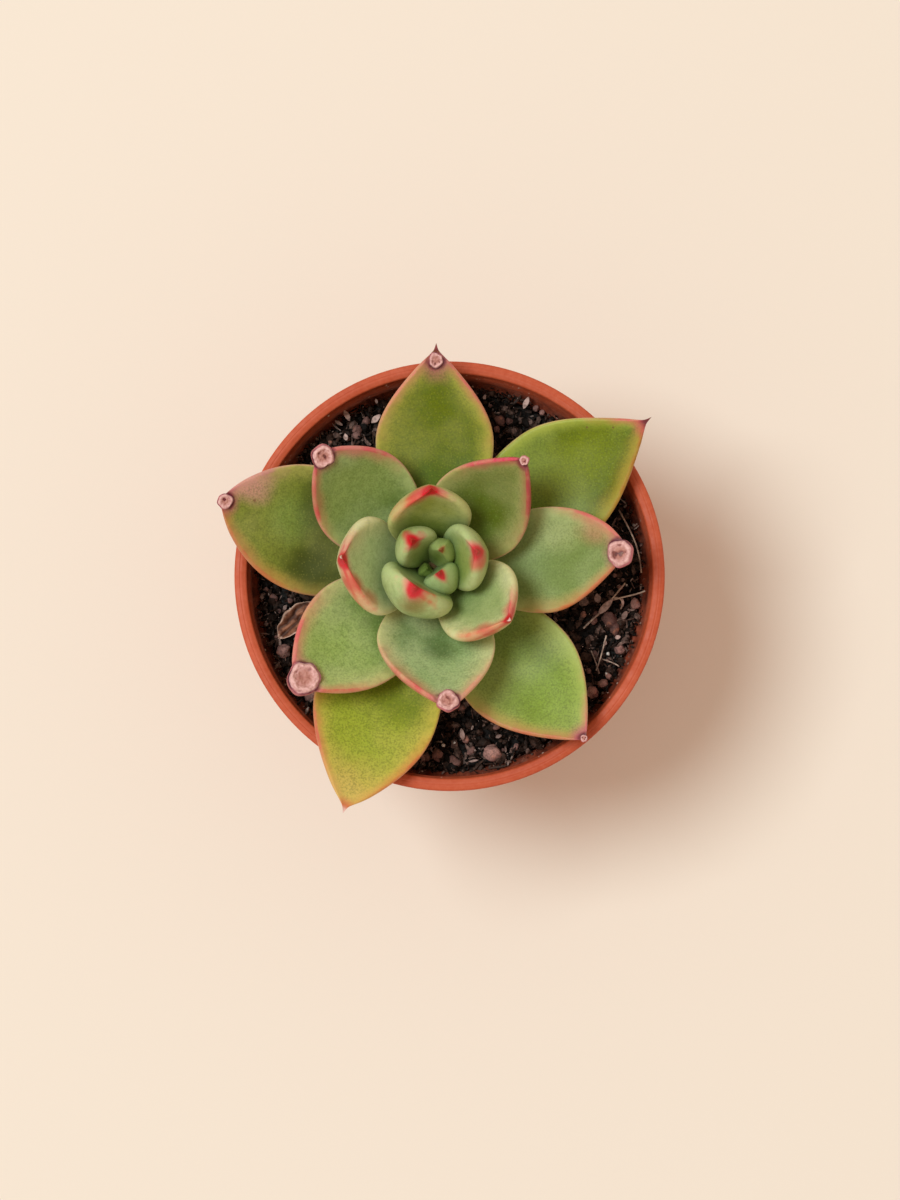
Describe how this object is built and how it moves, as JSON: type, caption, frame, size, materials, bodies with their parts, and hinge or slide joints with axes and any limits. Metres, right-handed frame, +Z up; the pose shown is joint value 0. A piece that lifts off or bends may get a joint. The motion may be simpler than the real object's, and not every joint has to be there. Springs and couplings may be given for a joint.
{
  "type": "potted miranda echeveria",
  "caption": "Small succulent rosette of fleshy, red-tipped, keeled leaves with healed tips, rooted in gritty soil in a round tapered nursery pot; decorative, free-standing.",
  "frame": {"origin": "on the pot's axis at the underside of its flat foot, where it stands", "axes": "+Z up along the pot's axis; +Y towards the leaf that points away from the viewer, the top of the reference view; +X to the viewer's right"},
  "size_m": [0.0705, 0.0723, 0.0785],
  "materials": {
    "pot_plastic": "satin terracotta-coloured moulded plastic, a little dusty inside",
    "gritty_soil": "damp dark potting mix with pinkish pumice grit, rough",
    "dried_leaf": "dry brown papery leaf, matte",
    "stem": "short green-brown stem, matte",
    "outer_leaf": "waxy yellow-green skin with gold and pink margins, satin",
    "middle_leaf": "waxy sage-green skin with a faint bloom and pink-red margins, satin",
    "inner_leaf": "waxy pale green skin with bright red tips, satin"
  },
  "bodies": {
    "root": {"pot": "pot_plastic", "soil": "gritty_soil", "dried_leaf": "dried_leaf", "stem": "stem", "leaf_01": "outer_leaf", "leaf_02": "outer_leaf", "leaf_03": "outer_leaf", "leaf_04": "outer_leaf", "leaf_05": "outer_leaf", "leaf_06": "middle_leaf", "leaf_07": "middle_leaf", "leaf_08": "middle_leaf", "leaf_09": "middle_leaf", "leaf_10": "middle_leaf", "leaf_11": "inner_leaf", "leaf_12": "inner_leaf", "leaf_13": "inner_leaf", "leaf_14": "inner_leaf", "leaf_15": "inner_leaf", "leaf_16": "inner_leaf", "leaf_17": "inner_leaf", "leaf_18": "inner_leaf", "leaf_19": "inner_leaf"}
  },
  "joints": []
}
